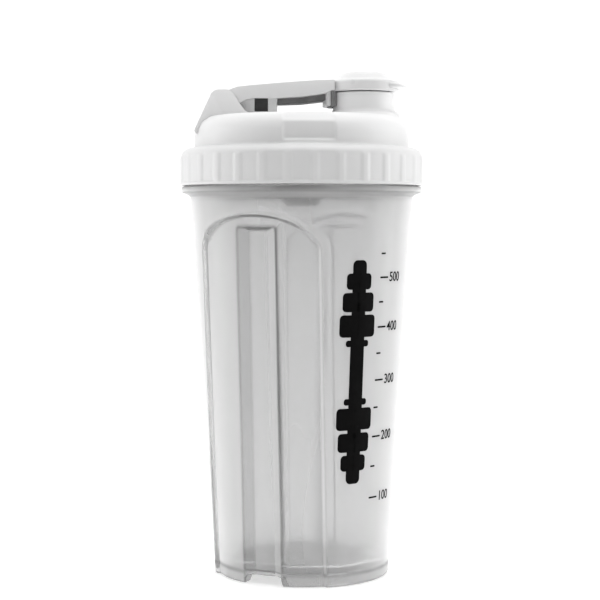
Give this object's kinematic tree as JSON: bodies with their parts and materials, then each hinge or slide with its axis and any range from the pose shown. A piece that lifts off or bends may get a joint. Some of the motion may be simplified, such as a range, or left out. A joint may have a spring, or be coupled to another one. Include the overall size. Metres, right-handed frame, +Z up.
{
  "type": "protein shaker bottle",
  "caption": "Tapered translucent shaker cup with grip panels, white screw lid, strainer and a hinged flip cap over the drinking spout.",
  "frame": {"origin": "centre of the cup's base, on the surface that the bottle stands on", "axes": "+Z up along the cup's axis, +X towards the drinking spout, -X towards the flip cap's hinge, the grip panels at azimuths -115 and 65 degrees"},
  "size_m": [0.1, 0.1, 0.207],
  "materials": {
    "frosted_cup": "translucent frosted polypropylene",
    "white_lid": "white moulded polypropylene, satin",
    "silicone": "translucent white silicone",
    "strainer_plastic": "grey moulded polypropylene",
    "white_cap": "white moulded polypropylene, satin",
    "soft_seal": "soft white elastomer",
    "pin_plastic": "grey acetal"
  },
  "bodies": {
    "cup": {"cup_body": "frosted_cup"},
    "gasket": {"lid_gasket": "silicone"},
    "lid": {"lid_shell": "white_lid", "hinge_pin": "pin_plastic"},
    "cap": {"flip_cap": "white_cap", "spout_seal": "soft_seal"},
    "strainer": {"mixing_strainer": "strainer_plastic"}
  },
  "joints": [
    {"name": "lid_rise", "type": "slide", "parent": "cup", "child": "gasket", "axis": [0, 0, 1], "range_m": [0, 0.00501]},
    {"name": "lid_turn", "type": "hinge", "parent": "gasket", "child": "lid", "pos_m": [0, 0, 0.171], "axis": [0, 0, 1], "range_deg": [0, 450]},
    {"name": "cap_flip", "type": "hinge", "parent": "lid", "child": "cap", "pos_m": [-0.032, 0, 0.193], "axis": [0, -1, 0], "range_deg": [0, 150]},
    {"name": "strainer_pull", "type": "slide", "parent": "lid", "child": "strainer", "axis": [0, 0, -1], "range_m": [0, 0.012]}
  ],
  "couplings": [
    {"joint": "lid_rise", "follows": "lid_turn", "m_per_rad": 0.00063662}
  ]
}
